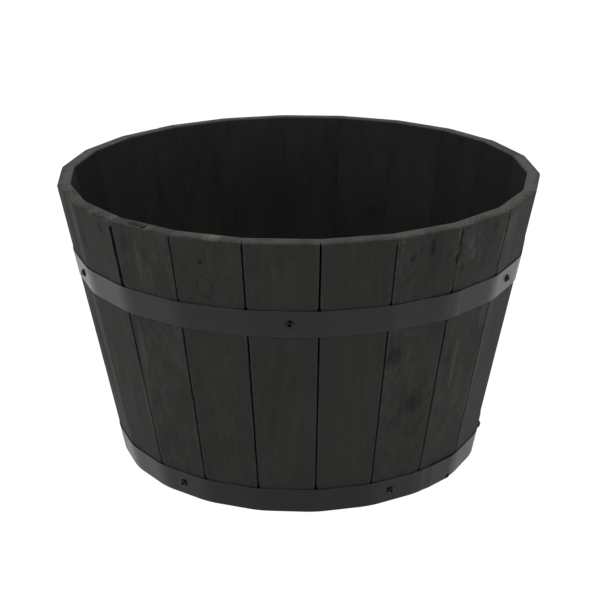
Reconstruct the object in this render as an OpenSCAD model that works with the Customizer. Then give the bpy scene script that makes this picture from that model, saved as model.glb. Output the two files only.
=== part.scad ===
// Half-barrel planter: flat tapered staves bound by two steel hoops, with a board floor held in a groove.
// Millimetres, +Z up. The front stave faces -Y, and the origin is the middle of the foot, on the ground.

/* [Tub] */
// Width of the rim, across opposite outer corners
rim_across = 602; // [520:1:700]
// Width of the foot, across opposite outer corners
foot_across = 466; // [400:1:510]
// Height of the tub, at the inner edge of its rim
tub_h = 358.5; // [300:0.5:450]

/* [Staves] */
// Number of staves
stave_count = 22; // [20:1:28]
// Thickness of a stave
stave_t = 16; // [12:0.5:20]
// Open joint between two staves
joint_gap = 0.8; // [0.3:0.1:2]
// How far the rim slopes down from its inner edge to its outer edge
rim_fall = 1.3; // [0:0.1:3]

/* [Hoops] */
// Width of the hoop strip, measured up the stave
hoop_w = 33; // [25:1:40]
// Thickness of the hoop strip
hoop_t = 1.2; // [0.8:0.1:2]
// Height of the upper hoop's middle above the ground
upper_hoop_z = 259; // [200:1:275]
// Height of the lower hoop's bottom edge above the ground
lower_hoop_lift = 0.5; // [0.5:0.5:6]
// Length over which a strip laps over its own start
lap_len = 40; // [25:1:50]
// Where the upper strip's end lies, in degrees round from the front stave's middle
upper_lap_end = 44; // [42:1:50]
// Where the lower strip's end lies, in degrees round from the front stave's middle
lower_lap_end = 56; // [54:1:66]

/* [Hoop screws] */
// Number of screws in a hoop, shared out over the staves
hoop_screw_n = 6; // [4:1:8]
// Stave that holds the upper hoop's first screw, counted from the front one
upper_first = 1; // [1:1:20]
// Stave that holds the lower hoop's first screw, counted from the front one
lower_first = 21; // [1:1:28]
// Diameter of the shank
screw_d = 4.5; // [3.5:0.5:5.5]
// Length of the shank below the head
screw_len = 12; // [8:1:13]
// Diameter of the head
head_d = 10; // [8:0.5:12]
// Height of the domed head
head_h = 3.2; // [2.6:0.1:4]
// Height of the straight edge below the dome
head_edge = 0.8; // [0.3:0.1:1.2]
// Length of one slot of the cross recess
recess_l = 4.8; // [3.6:0.1:6]
// Width of one slot of the cross recess
recess_w = 1.1; // [0.8:0.1:1.4]
// Depth of the cross recess
recess_depth = 1.8; // [1:0.1:2.2]
// Clearance all round a screw in its hole
screw_fit = 0.1; // [0.05:0.05:0.3]
// Room left below a screw's tip in a blind hole
tip_room = 0.5; // [0.2:0.1:1]

/* [Floor] */
// Height of the floor's underside above the ground
floor_z = 24; // [22:1:60]
// Thickness of the floor boards
floor_t = 14; // [12:1:20]
// Number of floor boards
floor_boards = 5; // [3:1:7]
// Open joint between two floor boards
floor_gap = 2; // [1:0.5:4]
// Depth of the groove that holds the floor, measured at its lower lip
groove_depth = 5; // [4:0.5:7]
// Clearance above the floor and round its edge, in the groove
groove_fit = 0.3; // [0.1:0.1:0.5]
// Diameter of a drainage hole
drain_d = 14; // [8:1:20]
// Distance of the outer drainage holes of the middle board from the tub's middle
drain_x = 60; // [40:5:70]

/* [Battens] */
// Width of a batten under the floor
batten_w = 40; // [30:1:50]
// Thickness of a batten
batten_t = 12; // [10:1:15]
// Distance of each batten's middle from the tub's middle
batten_x = 110; // [105:5:130]
// Room between a batten's end and the staves
batten_room = 6; // [3:1:12]
// Length of a floor screw
floor_screw_len = 22; // [18:1:23]
// Height of a floor screw's countersunk head
sunk_head_h = 2.8; // [2.2:0.1:3.4]

/* [Hidden] */
$fn = 48;
step = 360 / stave_count;
half_step = step / 2;
rim_apothem = rim_across / 2 * cos(half_step);
foot_apothem = foot_across / 2 * cos(half_step);
rim_outer_z = tub_h - rim_fall;
slope = (rim_apothem - foot_apothem) / rim_outer_z;
lean = atan(slope);
reach = rim_across;
cut_past = 1;
hoop_rise = hoop_w * cos(lean);
upper_hoop_low = upper_hoop_z - hoop_rise / 2;
lower_hoop_z = lower_hoop_lift + hoop_rise / 2;
floor_apothem = inner_x(floor_z) + groove_depth - groove_fit;
board_pitch = (2 * floor_apothem + floor_gap) / floor_boards;
board_w = board_pitch - floor_gap;
batten_low = floor_z - batten_t;
batten_far = batten_x + batten_w / 2;
batten_l = 2 * (sqrt(pow(inner_x(batten_low), 2) - pow(batten_far, 2)) - batten_room);
dome_rise = head_h - head_edge;
dome_r = (pow(head_d / 2, 2) + pow(dome_rise, 2)) / (2 * dome_rise);

// How far each hoop screw strays to the right of its stave's middle, as a share of half the stave's width
UPPER_DRIFT = [0.19, 0.03, -0.1, 0.1, -0.15, 0.15];
LOWER_DRIFT = [-0.06, -0.18, 0.72, 0.1, -0.12, 0.15];
UPPER_SCREWS = screw_spots(upper_first, UPPER_DRIFT);
LOWER_SCREWS = screw_spots(lower_first, LOWER_DRIFT);

STAVES = [for (s = [1:stave_count]) stave_name(s)];
BOARDS = [for (b = [1:floor_boards]) board_name(b)];
OTHERS = ["floor_batten_left", "floor_batten_right", "floor_screws",
          "upper_hoop", "lower_hoop", "upper_hoop_screws", "lower_hoop_screws"];

wood_colour = [0.19, 0.19, 0.18];
floor_colour = [0.15, 0.14, 0.13];
steel_colour = [0.27, 0.27, 0.28];
screw_colour = [0.08, 0.08, 0.08];

function stave_name(s) = str("stave_", s < 10 ? "0" : "", s);
function board_name(b) = str("floor_board_", b);

// Distance of a stave's outer and inner faces from the tub's axis, at height z
function outer_x(z) = foot_apothem + slope * z;
function inner_x(z) = outer_x(z) - stave_t / cos(lean);

// Middle line of floor board b, counted from the front
function board_y(b) = (b - (floor_boards + 1) / 2) * board_pitch;

// A floor screw stands in the middle of the stretch where board b lies over a batten
function board_screw_y(b) =
    (max(board_y(b) - board_w / 2, -batten_l / 2) + min(board_y(b) + board_w / 2, batten_l / 2)) / 2;

// Each hoop screw's spot: its stave, counted from the front one, and how far it strays from that stave's middle
function screw_spots(first, drift) =
    [for (i = [0:hoop_screw_n - 1])
        [(first - 1 + round(i * stave_count / hoop_screw_n)) % stave_count + 1, drift[i % len(drift)]]];

// Turns something drawn towards +X so that it faces the way stave s does
module facing(s) {
    rotate([0, 0, (s - 1) * step - 90])
        children();
}

// Extrudes a side view, drawn as [distance from the axis, height], across one stave
module across_stave() {
    rotate([90, 0, 0])
        linear_extrude(height = reach, center = true)
            children();
}

// Upright wedge between the joints on each side of a stave, with its sides drawn in by trim
module stave_wedge(trim) {
    translate([trim / sin(half_step), 0, 0])
        linear_extrude(height = tub_h)
            polygon([[0, 0], [reach, -reach * tan(half_step)], [reach, reach * tan(half_step)]]);
}

// Upright wedge from one direction to another, in degrees round from the front
module sector(from, to) {
    linear_extrude(height = tub_h)
        polygon([[0, 0], reach * [sin(from), -cos(from)], reach * [sin(to), -cos(to)]]);
}

// Side view of a stave: leaning faces, level foot, sloping rim, and the floor's groove in the inner face
module stave_side() {
    groove_x = floor_apothem + groove_fit;
    groove_top = floor_z + floor_t + groove_fit;
    polygon([[inner_x(0), 0], [outer_x(0), 0], [rim_apothem, rim_outer_z], [inner_x(tub_h), tub_h],
             [inner_x(groove_top), groove_top], [groove_x, groove_top],
             [groove_x, floor_z], [inner_x(floor_z), floor_z]]);
}

// Moves a screw, drawn pointing into the wood from z = 0, to its spot on the hoop's outer face
module at_screw(spot, z) {
    facing(spot[0])
        translate([outer_x(z), spot[1] * outer_x(z) * tan(half_step), z])
            rotate([0, 90 + lean, 0])
                translate([0, 0, hoop_t])
                    children();
}

module screw_holes(spots, z) {
    for (spot = spots)
        at_screw(spot, z)
            translate([0, 0, -screw_len - tip_room])
                cylinder(d = screw_d + 2 * screw_fit, h = screw_len + tip_room + head_h);
}

module stave(s) {
    color(wood_colour)
        difference() {
            facing(s)
                intersection() {
                    across_stave()
                        stave_side();
                    stave_wedge(joint_gap / 2);
                }
            screw_holes([for (spot = UPPER_SCREWS) if (spot[0] == s) spot], upper_hoop_z);
            screw_holes([for (spot = LOWER_SCREWS) if (spot[0] == s) spot], lower_hoop_z);
        }
}

// Everything inside the staves' outer faces between two heights, with each face moved out square to itself
module facet_core(low, high, grow) {
    out = grow / cos(lean);
    intersection_for (s = [1:stave_count])
        facing(s)
            across_stave()
                polygon([[-reach, low], [outer_x(low) + out, low],
                         [outer_x(high) + out, high], [-reach, high]]);
}

// A strip bent to the facets, with a second layer where its end laps over its start
module hoop(low, lap_end, spots) {
    high = low + hoop_rise;
    lap_angle = lap_len / outer_x(low) * 180 / PI;
    color(steel_colour)
        difference() {
            union() {
                facet_core(low, high, hoop_t);
                intersection() {
                    facet_core(low, high, 2 * hoop_t);
                    sector(lap_end - lap_angle, lap_end);
                }
            }
            facet_core(low - cut_past, high + cut_past, 0);
            screw_holes(spots, low + hoop_rise / 2);
        }
}

module cross_recess() {
    for (turn = [0, 90])
        rotate([0, 0, turn])
            cube([recess_l, recess_w, 2 * recess_depth], center = true);
}

module hoop_screw() {
    difference() {
        union() {
            translate([0, 0, -screw_len])
                cylinder(d = screw_d, h = screw_len);
            intersection() {
                cylinder(d = head_d, h = head_h);
                translate([0, 0, head_h - dome_r])
                    sphere(r = dome_r);
            }
        }
        translate([0, 0, head_h])
            cross_recess();
    }
}

module hoop_screws(spots, z) {
    color(screw_colour)
        for (spot = spots)
            at_screw(spot, z)
                hoop_screw();
}

// Countersunk screw standing on its head, and its hole when drawn with a clearance
module sunk_screw(fit, room) {
    cylinder(d1 = head_d + 2 * fit, d2 = screw_d + 2 * fit, h = sunk_head_h);
    cylinder(d = screw_d + 2 * fit, h = floor_screw_len + room);
}

module floor_screw_spots() {
    for (side = [-1, 1], b = [1:floor_boards])
        translate([side * batten_x, board_screw_y(b), batten_low])
            children();
}

module floor_screws() {
    color(screw_colour)
        floor_screw_spots()
            difference() {
                sunk_screw(0, 0);
                cross_recess();
            }
}

module drain_holes() {
    for (spot = [[0, 0], [-drain_x, 0], [drain_x, 0], [0, -board_pitch], [0, board_pitch]])
        translate([spot[0], spot[1], floor_z - cut_past])
            cylinder(d = drain_d, h = floor_t + 2 * cut_past);
}

// The whole floor's outline: a straight edge for each stave, with its corners at the joints
module floor_outline() {
    corner_r = floor_apothem / cos(half_step);
    translate([0, 0, floor_z])
        linear_extrude(height = floor_t)
            polygon([for (s = [1:stave_count]) let (a = (s - 0.5) * step - 90) corner_r * [cos(a), sin(a)]]);
}

module floor_board(b) {
    color(floor_colour)
        difference() {
            intersection() {
                floor_outline();
                translate([-reach / 2, board_y(b) - board_w / 2, floor_z])
                    cube([reach, board_w, floor_t]);
            }
            drain_holes();
            floor_screw_spots()
                sunk_screw(screw_fit, tip_room);
        }
}

module floor_batten(side) {
    color(floor_colour)
        difference() {
            translate([side * batten_x - batten_w / 2, -batten_l / 2, batten_low])
                cube([batten_w, batten_l, batten_t]);
            floor_screw_spots()
                sunk_screw(screw_fit, tip_room);
        }
}

for (s = [1:stave_count])
    stave(s);
for (b = [1:floor_boards])
    floor_board(b);
floor_batten(-1);  // floor_batten_left
floor_batten(1);  // floor_batten_right
floor_screws();
hoop(upper_hoop_low, upper_lap_end, UPPER_SCREWS);  // upper_hoop
hoop(lower_hoop_lift, lower_lap_end, LOWER_SCREWS);  // lower_hoop
hoop_screws(UPPER_SCREWS, upper_hoop_z);  // upper_hoop_screws
hoop_screws(LOWER_SCREWS, lower_hoop_z);  // lower_hoop_screws
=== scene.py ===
# %% [markdown]
# # A charcoal half-barrel planter
#
# The real object is a cooper's tub cut short. Flat tapered staves stand side by side in a ring, two steel
# hoops hold them together, and a floor of boards sits in a groove near the foot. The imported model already
# holds every size, so this lesson starts by loading it, and measures everything else on it. Nothing here
# moves or resizes a piece: each step only gives one of them its true surface.

import math
import random

import bmesh
import bpy
from mathutils import Matrix, Vector, noise


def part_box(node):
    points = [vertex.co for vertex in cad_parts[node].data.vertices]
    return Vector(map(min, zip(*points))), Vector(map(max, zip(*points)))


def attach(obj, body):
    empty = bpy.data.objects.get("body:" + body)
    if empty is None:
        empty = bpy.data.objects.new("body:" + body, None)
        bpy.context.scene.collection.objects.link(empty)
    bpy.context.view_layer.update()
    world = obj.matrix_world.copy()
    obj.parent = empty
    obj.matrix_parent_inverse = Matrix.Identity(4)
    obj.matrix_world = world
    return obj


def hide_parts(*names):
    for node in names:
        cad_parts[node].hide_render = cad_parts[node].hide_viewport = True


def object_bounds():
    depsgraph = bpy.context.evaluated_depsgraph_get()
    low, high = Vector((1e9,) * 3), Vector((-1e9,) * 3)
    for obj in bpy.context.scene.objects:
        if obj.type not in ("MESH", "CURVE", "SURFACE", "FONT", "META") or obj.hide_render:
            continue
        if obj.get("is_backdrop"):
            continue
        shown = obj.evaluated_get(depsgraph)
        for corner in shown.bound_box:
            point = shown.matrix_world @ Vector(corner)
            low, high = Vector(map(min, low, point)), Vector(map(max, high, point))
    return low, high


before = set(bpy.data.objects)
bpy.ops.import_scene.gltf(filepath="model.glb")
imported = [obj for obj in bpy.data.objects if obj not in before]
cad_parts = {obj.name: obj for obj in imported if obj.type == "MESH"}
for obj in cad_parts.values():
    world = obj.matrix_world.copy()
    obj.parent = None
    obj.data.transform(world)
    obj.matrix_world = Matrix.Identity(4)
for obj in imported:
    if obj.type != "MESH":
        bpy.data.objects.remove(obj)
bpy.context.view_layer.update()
MM = 0.001

# %% [markdown]
# ## Measuring the tub
#
# A stave is a flat board that leans outwards, so four numbers say where its two faces are at any height:
# how far its outer and inner faces stand from the tub's axis at the foot, the height of the rim, and the
# slope. They are read off the corners of the front stave, which faces -Y.

# %% Measure the staves
def corners(node):
    """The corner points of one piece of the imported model."""
    return [v.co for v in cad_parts[node].data.vertices]


STAVES = sum(name.startswith("stave_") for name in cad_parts)
STEP = math.tau / STAVES
HALF_STEP = STEP / 2
front = corners("stave_01")
TUB_H = max(p.z for p in front)
RIM_R = max(-p.y for p in front)
RIM_Z = max(p.z for p in front if -p.y > RIM_R - MM / 10)
foot = [-p.y for p in front if p.z < MM / 10]
FOOT_R, FOOT_INNER_R = max(foot), min(foot)
SLOPE = (RIM_R - FOOT_R) / RIM_Z
LEAN = math.atan(SLOPE)
STAVE_T = (FOOT_R - FOOT_INNER_R) * math.cos(LEAN)


def outer(z):
    """Distance of the staves' outer faces from the axis, at height z."""
    return FOOT_R + SLOPE * z


def inner(z):
    """Distance of the staves' inner faces from the axis, at height z."""
    return FOOT_INNER_R + SLOPE * z


def round_from_front(p):
    """How far a point lies round the tub from the front stave's middle, anticlockwise seen from above."""
    return math.atan2(p.x, -p.y)


print(STAVES, "staves, leaning", round(math.degrees(LEAN), 2), "degrees, rim at", round(RIM_R, 4), "m")

# %% [markdown]
# ## A short way to write materials
#
# A material is a net of nodes, and most of those nodes are sums. Written out one by one they hide the idea,
# so a socket is wrapped in a small class that knows the signs + - * / and **. An expression such as
# `1 - mask * 0.4` then adds its own Math nodes. Every other node comes from one method, `node`, which sets
# the node's choices first and its sockets after.

# %% Sockets that can be added and multiplied
class Wire:
    """The output socket of a node, ready to be used in a sum."""

    def __init__(self, tree, socket):
        self.tree, self.socket = tree, socket

    def __add__(self, other):
        return self.tree.sum("ADD", self, other)

    def __sub__(self, other):
        return self.tree.sum("SUBTRACT", self, other)

    def __rsub__(self, other):
        return self.tree.sum("SUBTRACT", other, self)

    def __mul__(self, other):
        return self.tree.sum("MULTIPLY", self, other)

    def __truediv__(self, other):
        return self.tree.sum("DIVIDE", self, other)

    def __rtruediv__(self, other):
        return self.tree.sum("DIVIDE", other, self)

    def __pow__(self, other):
        return self.tree.sum("POWER", self, other)

    __radd__, __rmul__ = __add__, __mul__


class Tree:
    """The nodes of one material or world, cleared and ready to be wired."""

    def __init__(self, owner):
        owner.use_nodes = True
        self.nodes, self.links = owner.node_tree.nodes, owner.node_tree.links
        self.nodes.clear()

    def node(self, kind, settings={}, inputs={}, output=0):
        """Adds a node: its settings, then the values or wires of its sockets. Returns one output."""
        made = self.nodes.new(kind)
        for key, value in settings.items():
            setattr(made, key, value)
        for key, value in inputs.items():
            socket = self.pick(made.inputs, key)
            if isinstance(value, Wire):
                self.links.new(value.socket, socket)
            else:
                socket.default_value = value
        return Wire(self, self.pick(made.outputs, output)) if made.outputs else None

    def pick(self, sockets, key):
        """The socket at a place in the list, or the one of that name that is in use."""
        if isinstance(key, int):
            return sockets[key]
        return next(s for s in sockets if s.enabled and s.name == key)

    def sum(self, operation, a, b):
        """One Math node on two numbers."""
        return self.node("ShaderNodeMath", {"operation": operation}, {0: a, 1: b})

    def stretch(self, vector, x, y, z):
        """A vector with each of its parts multiplied: below 1, a pattern on it is drawn out that way."""
        return self.node("ShaderNodeVectorMath", {"operation": "MULTIPLY"}, {0: vector, 1: (x, y, z)})

    def length(self, vector):
        """How long a vector is."""
        return self.node("ShaderNodeVectorMath", {"operation": "LENGTH"}, {0: vector}, "Value")

    def part(self, vector, axis):
        """One of the three numbers of a vector."""
        return self.node("ShaderNodeSeparateXYZ", {}, {"Vector": vector}, axis)

    def cloud(self, vector, scale, detail=2.0, roughness=0.5, swirl=0.0):
        """Soft noise from 0 to 1, with scale in waves to the metre."""
        return self.node("ShaderNodeTexNoise", {}, {
            "Vector": vector, "Scale": scale, "Detail": detail, "Roughness": roughness, "Distortion": swirl})

    def between(self, value, low, high):
        """0 where value is below low, 1 where it is above high, and a smooth climb from one to the other."""
        return self.node("ShaderNodeMapRange", {"interpolation_type": "SMOOTHSTEP"}, {
            "Value": value, "From Min": low, "From Max": high})

    def blend(self, share, a, b):
        """Colour a, turning to colour b as share goes from 0 to 1."""
        return self.node("ShaderNodeMix", {"data_type": "RGBA"}, {"Factor": share, "A": a, "B": b}, "Result")

    def shade(self, colour, amount):
        """A colour made darker or lighter by a number that changes over the surface."""
        as_colour = self.node("ShaderNodeCombineColor", {}, {0: amount, 1: amount, 2: amount})
        return self.node("ShaderNodeMix", {"data_type": "RGBA", "blend_type": "MULTIPLY"}, {
            "Factor": 1.0, "A": colour, "B": as_colour}, "Result")

    def read(self, attribute, output):
        """A value that the mesh carries at each of its points."""
        return self.node("ShaderNodeAttribute", {"attribute_name": attribute}, {}, output)

    def place(self):
        """Where a point lies in the tub, which no turn of the camera changes."""
        return self.node("ShaderNodeTexCoord", {}, {}, "Object")

    def bump(self, height, strength, deep):
        """A relief of at most so many metres, for a shader's Normal."""
        return self.node("ShaderNodeBump", {}, {"Strength": strength, "Distance": deep, "Height": height})

    def mix(self, share, a, b):
        """Shader a, turning to shader b as share goes from 0 to 1."""
        return self.node("ShaderNodeMixShader", {}, {0: share, 1: a, 2: b})

    def finish(self, shader, kind="ShaderNodeOutputMaterial"):
        """Makes a shader the surface of the material, or of the world."""
        self.node(kind, {}, {"Surface": shader})


# %% [markdown]
# ## Turning a bmesh into a piece
#
# Every piece below is modelled in a bmesh at its final place, so its object stays at the origin, unturned.
# `mesh_of` and `show` are the two steps that any object takes to get into the scene. `SHARP` is the fold
# above which an edge stays crisp.

# %% Make a piece
SHARP = math.radians(38)


def mesh_of(name, bm):
    """Hands a bmesh over to a mesh, which an object can hold."""
    mesh = bpy.data.meshes.new(name)
    bm.to_mesh(mesh)
    bm.free()
    return mesh


def show(name, data):
    """Puts a mesh, a lamp or a camera into the scene."""
    made = bpy.data.objects.new(name, data)
    bpy.context.scene.collection.objects.link(made)
    return made


def piece(name, bm, node, material):
    """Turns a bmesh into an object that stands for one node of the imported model."""
    for face in bm.faces:
        face.smooth = True
    for edge in bm.edges:
        edge.smooth = len(edge.link_faces) == 2 and edge.calc_face_angle() < SHARP
    made = show(name, mesh_of(name, bm))
    made.data.materials.append(material)
    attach(made, "root")
    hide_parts(node)


def points_of(made):
    """The vertices among what a bmesh operator returned."""
    return [g for g in made if isinstance(g, bmesh.types.BMVert)]


def edges_of(made):
    """The edges among what a bmesh operator returned."""
    return [g for g in made if isinstance(g, bmesh.types.BMEdge)]


def whole(bm):
    """Everything in a bmesh, as an operator's geom."""
    return bm.verts[:] + bm.edges[:] + bm.faces[:]


def midway(numbers):
    """The number halfway between the least and the greatest."""
    return (min(numbers) + max(numbers)) / 2


# %% [markdown]
# ## Camera
#
# The photograph was taken with a long lens from a little above. Matching the corners of the staves and the
# hoops gave the lens, the distance and the angle, and a turn of a quarter of a degree about the view.

# %% Set the camera
CAMERA_ROUND = math.radians(3.706)
CAMERA_UP = math.radians(20.452)
CAMERA_ROLL = math.radians(-0.227)
CAMERA_AWAY = 1.8954
AIM = Vector((0.00093, 0.00006, 0.18285))
SENSOR = 36.0
LENS = 87.77


def before_the_tub(up):
    """The direction from the tub to a place on the camera's side, at an angle up from level."""
    return Matrix.Rotation(CAMERA_ROUND, 3, "Z") @ Vector((0, -math.cos(up), math.sin(up)))


towards_camera = before_the_tub(CAMERA_UP)
camera = show("camera", bpy.data.cameras.new("camera"))
camera.data.sensor_width = SENSOR
camera.data.lens = LENS
camera.matrix_world = (
    Matrix.Translation(AIM + towards_camera * CAMERA_AWAY)
    @ (-towards_camera).to_track_quat("-Z", "Y").to_matrix().to_4x4()
    @ Matrix.Rotation(CAMERA_ROLL, 4, "Z"))
bpy.context.scene.camera = camera
print("camera at", [round(v, 3) for v in camera.matrix_world.translation])

# %% [markdown]
# ## Stage and light
#
# The photograph is a plain studio shot on white. White is a look here and not a lamp: the world and the
# floor show white to the camera and to reflections, through Light Path, while the light that falls on the
# tub stays at a plain level, so that a colour renders about as it is written. Part of the floor's white is
# left to be lit, which keeps a faint shadow under the foot, and under the tub itself the floor isn't white.
# Above and behind the camera the room is dark: only a surface that leans back towards it mirrors that, such
# as the upper side of each screw's dome.

# %% Light the stage
WHITE = (1.0, 1.0, 1.0, 1.0)
FILL = 0.65
FLOOR_ACROSS = 30.0
FLOOR_GLOW = 0.8
FLOOR_WHITE = 1.2
DARK_UP = math.radians(43)
DARK_ROOM = (0.79, 0.87)
ROOM_DARKNESS = 0.95
PAPER = (0.8, 0.8, 0.8, 1.0)


def seen_directly(tree):
    """1 for rays from the camera and for reflections, 0 for light that falls on things."""
    kinds = [tree.node("ShaderNodeLightPath", {}, {}, kind)
             for kind in ("Is Camera Ray", "Is Glossy Ray", "Is Transmission Ray")]
    return tree.sum("MAXIMUM", tree.sum("MAXIMUM", kinds[0], kinds[1]), kinds[2])


world = bpy.data.worlds.new("studio")
bpy.context.scene.world = world
studio = Tree(world)
facing = studio.node("ShaderNodeVectorMath", {"operation": "DOT_PRODUCT"}, {
    0: studio.node("ShaderNodeTexCoord", {}, {}, "Generated"), 1: before_the_tub(DARK_UP)}, "Value")
dark_room = studio.between(facing, *DARK_ROOM) * studio.node("ShaderNodeLightPath", {}, {}, "Is Glossy Ray")
walls = [studio.node("ShaderNodeBackground", {}, {"Color": WHITE, "Strength": strength})
         for strength in (FILL, 1 - dark_room * ROOM_DARKNESS)]
studio.finish(studio.mix(seen_directly(studio), *walls), "ShaderNodeOutputWorld")

floor_paint = bpy.data.materials.new("floor_paint")
paper = Tree(floor_paint)
lit = paper.node("ShaderNodeBsdfDiffuse", {}, {"Color": PAPER})
glow = paper.node("ShaderNodeEmission", {}, {"Color": WHITE, "Strength": FLOOR_WHITE})
beside = paper.between(paper.length(paper.place()), FOOT_INNER_R + 4 * MM, FOOT_R - 2 * MM)
paper.finish(paper.mix(seen_directly(paper) * beside * FLOOR_GLOW, lit, glow))

ground = bmesh.new()
bmesh.ops.create_grid(ground, x_segments=1, y_segments=1, size=FLOOR_ACROSS / 2)
floor = show("floor", mesh_of("floor", ground))
floor.data.materials.append(floor_paint)
floor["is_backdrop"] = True
print("stage:", FLOOR_ACROSS, "m across, fill", FILL)

# %% [markdown]
# ## Lamps
#
# Two soft boxes stand high at the sides. A square area light is a soft box: the bigger it is, the softer its
# light. The left one is a little stronger, as in the photograph, so the tub's left flank is the brighter one.

# %% Hang the lamps
SOFT_BOX = 1.6
LAMPS = {"soft_box_left": ((-2.6, -0.6, 1.7), 8.0), "soft_box_right": ((2.8, -0.4, 1.6), 5.0)}

for name, (spot, power) in LAMPS.items():
    data = bpy.data.lights.new(name, "AREA")
    data.shape, data.size, data.energy = "SQUARE", SOFT_BOX, power
    lamp = show(name, data)
    lamp.location = spot
    lamp.rotation_mode = "QUATERNION"
    lamp.rotation_quaternion = (AIM - Vector(spot)).to_track_quat("-Z", "Y")
bpy.context.scene.view_settings.view_transform = "Standard"
print("lamps:", {name: power for name, (_, power) in LAMPS.items()}, "W")

# %% [markdown]
# ## The blank of a stave
#
# On the bench a stave starts as a blank: a side view cut from a board, with the floor's groove planed
# across it, then both edges sawn along the joints, and every arris eased. The same steps work here: one face
# for the side view, extruded across, cut twice with bisect_plane, and bevelled. Last, the blank is sliced
# up and across, because a surface without points in it can't be worn or chipped.

# %% Cut the blank
GROOVE_ROOM = 0.3 * MM
floor_low, floor_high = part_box("floor_board_1")
GROOVE_R = -floor_low.y + GROOVE_ROOM
GROOVE_LOW, GROOVE_TOP = floor_low.z, floor_high.z + GROOVE_ROOM
SAW_ROOM = 0.01 * MM
ARRIS = 0.9 * MM
INNER_ARRIS = 0.4 * MM
RIM_ROUND = 1.9 * MM
HOOP_BANDS = [[corner.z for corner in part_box(node)] for node in ("lower_hoop", "upper_hoop")]
BLANK_HALF = 60 * MM


def saw(bm, place, facing):
    """Takes off what lies past a plane and closes the cut."""
    cut = bmesh.ops.bisect_plane(
        bm, geom=whole(bm), dist=MM / 1000, plane_co=place, plane_no=facing, clear_outer=True)
    bmesh.ops.edgeloop_fill(bm, edges=edges_of(cut["geom_cut"]))


def slices(bm, facing, places):
    """Cuts faces along parallel planes, so that there are points to move."""
    for place in places:
        bmesh.ops.bisect_plane(
            bm, geom=whole(bm), dist=MM / 100, plane_co=Vector(facing) * place, plane_no=facing)


def in_groove(edge):
    """Whether an edge lies in the groove for the floor."""
    middle = (edge.verts[0].co + edge.verts[1].co) / 2
    return -middle.y < GROOVE_R + MM / 10 and GROOVE_LOW - MM / 10 < middle.z < GROOVE_TOP + MM / 10


def radial(edge):
    """Whether an edge runs through the stave's thickness, along a joint."""
    return abs(edge.verts[0].co.y - edge.verts[1].co.y) > 10 * MM and edge.calc_length() < 20 * MM


def stave_blank():
    """The front stave as it leaves the saw, in its place in the tub."""
    side_view = [(inner(0), 0), (outer(0), 0), (RIM_R, RIM_Z), (inner(TUB_H), TUB_H),
                 (inner(GROOVE_TOP), GROOVE_TOP), (GROOVE_R, GROOVE_TOP),
                 (GROOVE_R, GROOVE_LOW), (inner(GROOVE_LOW), GROOVE_LOW)]
    bm = bmesh.new()
    side = bm.faces.new([bm.verts.new((-BLANK_HALF, -r, z)) for r, z in side_view])
    drawn = bmesh.ops.extrude_face_region(bm, geom=[side])["geom"]
    bmesh.ops.translate(bm, verts=points_of(drawn), vec=(2 * BLANK_HALF, 0, 0))
    bmesh.ops.recalc_face_normals(bm, faces=bm.faces[:])
    for hand in (-1, 1):
        facing = Vector((hand * math.cos(HALF_STEP), math.sin(HALF_STEP), 0))
        saw(bm, facing * -SAW_ROOM, facing)
    lip = [e for e in bm.edges if all(-v.co.y > RIM_R - MM / 10 for v in e.verts)]
    bmesh.ops.bevel(bm, geom=lip, offset=RIM_ROUND, affect="EDGES", segments=4, profile=0.5, material=-1)
    arrises = [e for e in bm.edges if e.calc_face_angle() > SHARP and not in_groove(e) and not radial(e)]
    hidden = [e for e in arrises if all(-v.co.y < inner(v.co.z) + MM / 10 for v in e.verts)]
    bmesh.ops.bevel(bm, geom=hidden, offset=INNER_ARRIS, affect="EDGES", segments=2, profile=0.5, material=-1)
    arrises = [e for e in arrises if e.is_valid and e not in hidden]
    bmesh.ops.bevel(bm, geom=arrises, offset=ARRIS, affect="EDGES", segments=2, profile=0.5, material=-1)
    return bm


blank = stave_blank()
print("stave as sawn:", len(blank.verts), "points,", len(blank.faces), "faces")

# %% [markdown]
# ## Points to wear
#
# The slices lie close together where the wear is fine: near the rim, which is chipped, and just above each
# hoop, where dirt has eaten a notch into the joints. Elsewhere they can be wide apart.

# %% Slice the blank
ROW = 6 * MM
FINE_ROW = 1.6 * MM
FINE_ROWS = 10
COLUMN = 5 * MM
LAYER = 3 * MM
ABOVE_HOOP = (-1 * MM, 1.2 * MM, 3.4 * MM)
rows = [ROW * n for n in range(1, int((TUB_H - FINE_ROW * FINE_ROWS) / ROW) + 1)]
rows += [TUB_H - FINE_ROW * (n + 1) for n in range(FINE_ROWS)]
rows += [high + step for _, high in HOOP_BANDS for step in ABOVE_HOOP]
slices(blank, (0, 0, 1), rows)
slices(blank, (1, 0, 0), [COLUMN * n for n in range(-8, 9)])
slices(blank, (0, 1, 0), [LAYER * n - RIM_R for n in range(1, 6)])
print("stave blank:", len(blank.verts), "points,", len(blank.faces), "faces")

# %% [markdown]
# ## Weathering the staves
#
# No two staves of a real tub are alike. Each copy of the blank gets its own open joints, a slight cup and
# bow, an uneven arris and rim, and a chip or a burr where the photograph shows one. All of it only takes
# wood away, so the tub stays inside its true size. The points also carry what the wood finish needs: where
# they lie in the board, how far from its edges, where its knot is, and how dusty it is.

# %% Say how the staves differ
# How wide each joint opens, in mm, above the upper hoop and below it. The rest open as OTHER_JOINTS says
JOINT_OPEN = {20: (5.5, 3.3), 19: (0.4, 0.9), 21: (1.6, 2.3), 22: (1.7, 2.1), 1: (1.9, 1.9),
              2: (1.35, 1.9), 3: (1.7, 2.7), 4: (1.7, 2.2), 5: (1.2, 1.2)}
OTHER_JOINTS = (1.4, 1.4)
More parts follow.
